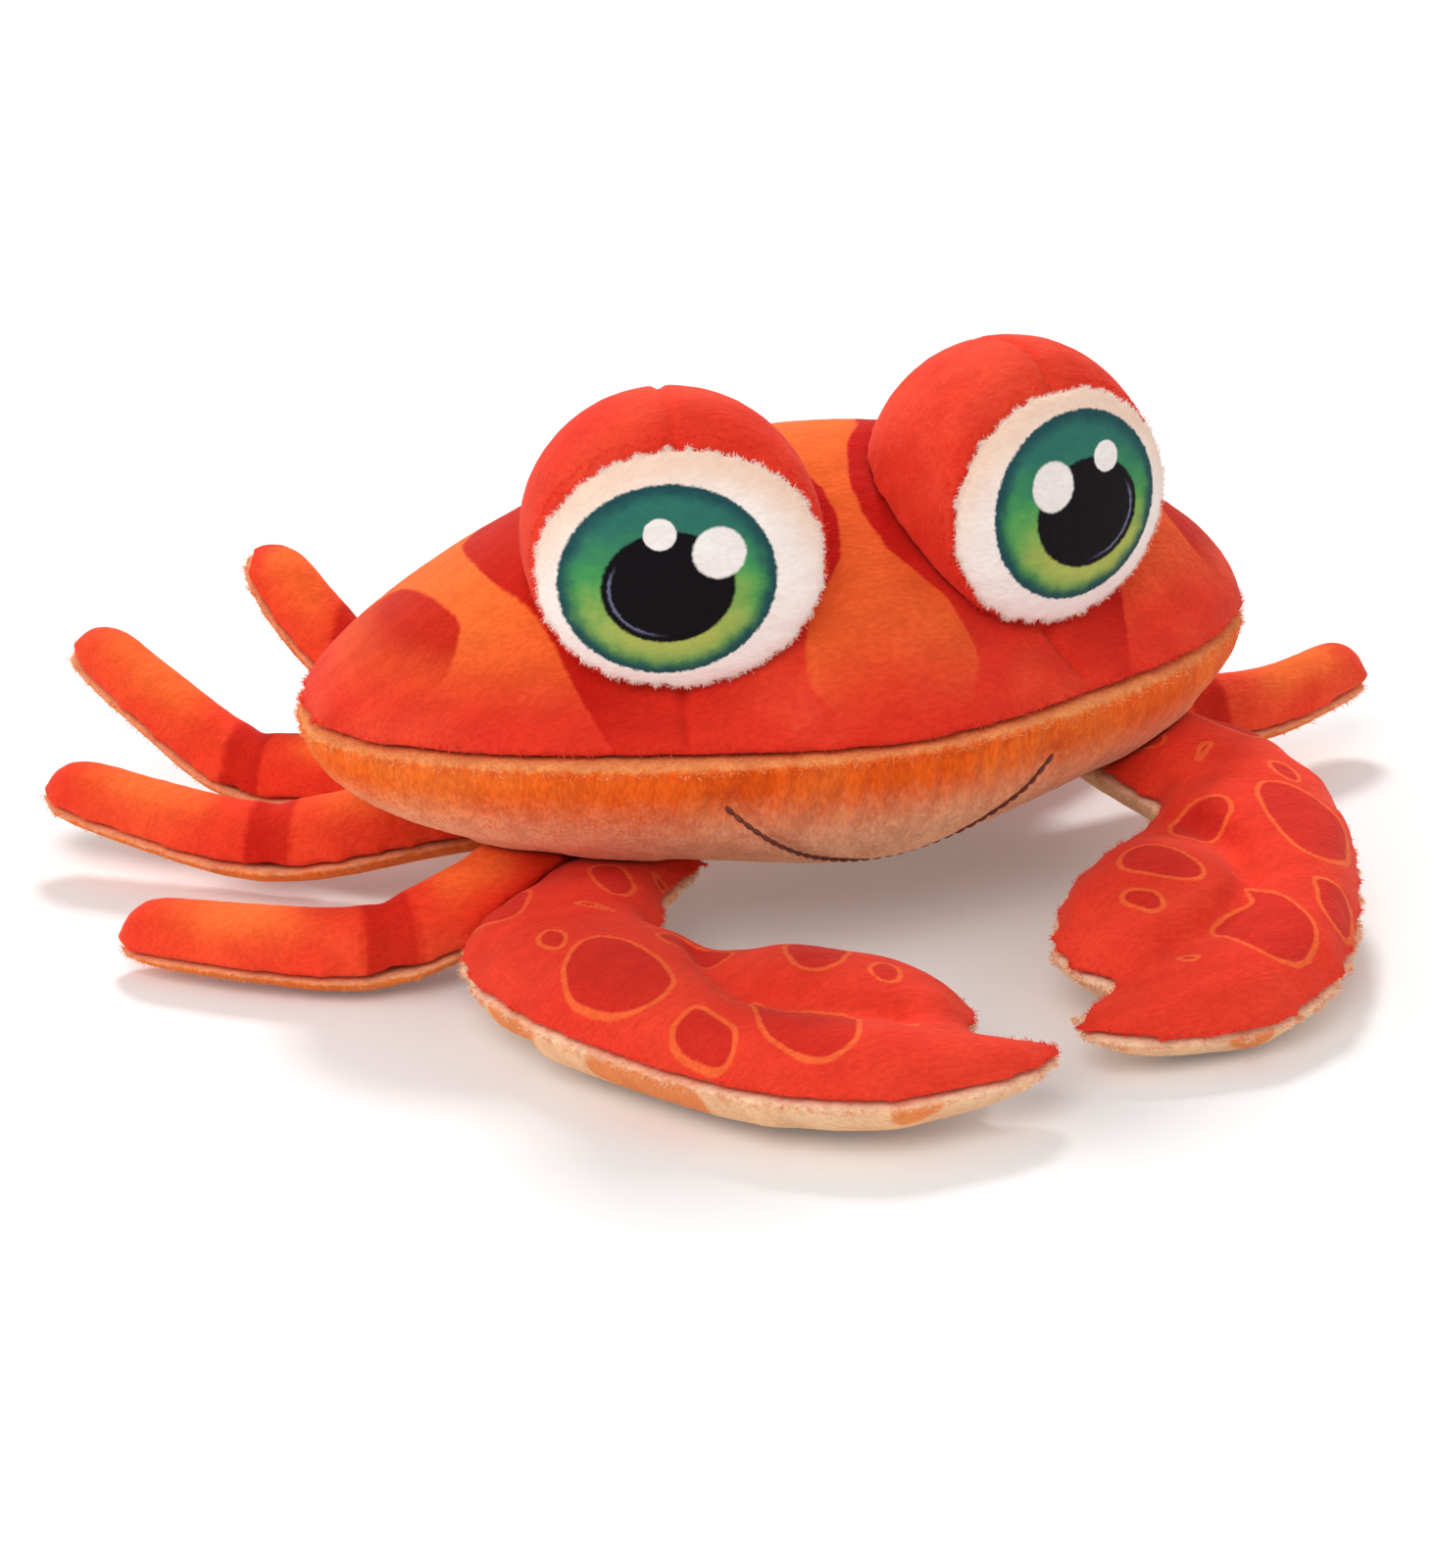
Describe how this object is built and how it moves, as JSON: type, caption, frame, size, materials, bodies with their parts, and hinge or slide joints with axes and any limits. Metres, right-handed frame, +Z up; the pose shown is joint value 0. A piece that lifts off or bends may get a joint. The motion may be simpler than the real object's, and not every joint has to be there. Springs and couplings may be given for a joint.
{
  "type": "plush crab",
  "caption": "Stuffed plush crab with a domed body, bulging printed eyes, a stitched smile, curled claws and bent legs, sewn from short-pile cloth.",
  "frame": {"origin": "centre of the bounding box in X and Y, on the floor that the crab stands on", "axes": "the crab faces -Y, its right side is at -X, +Z up"},
  "size_m": [0.3522, 0.2922, 0.1442],
  "materials": {
    "body_cloth": "short plush pile, red with printed orange and dark red patches",
    "eyelid_cloth": "short plush pile, red",
    "belly_cloth": "short plush pile, orange fading to cream underneath",
    "eye_cloth": "short plush pile, white with a printed green iris and dark pupil",
    "mouth_thread": "matt embroidery thread",
    "leg_cloth": "short plush pile, red with printed bands",
    "leg_under_cloth": "short plush pile, orange",
    "claw_cloth": "short plush pile, red with printed rings",
    "claw_under_cloth": "short plush pile, pale orange"
  },
  "bodies": {
    "root": {"body_top": "body_cloth", "body_belly": "belly_cloth", "mouth_thread": "mouth_thread", "eye_right_lid": "eyelid_cloth", "eye_right_front": "eye_cloth", "leg_right_1_top": "leg_cloth", "leg_right_1_under": "leg_under_cloth", "leg_right_2_top": "leg_cloth", "leg_right_2_under": "leg_under_cloth", "leg_right_3_top": "leg_cloth", "leg_right_3_under": "leg_under_cloth", "leg_right_4_top": "leg_cloth", "leg_right_4_under": "leg_under_cloth", "claw_right_top": "claw_cloth", "claw_right_under": "claw_under_cloth", "eye_left_lid": "eyelid_cloth", "eye_left_front": "eye_cloth", "leg_left_1_top": "leg_cloth", "leg_left_1_under": "leg_under_cloth", "leg_left_2_top": "leg_cloth", "leg_left_2_under": "leg_under_cloth", "leg_left_3_top": "leg_cloth", "leg_left_3_under": "leg_under_cloth", "leg_left_4_top": "leg_cloth", "leg_left_4_under": "leg_under_cloth", "claw_left_top": "claw_cloth", "claw_left_under": "claw_under_cloth"}
  },
  "joints": []
}
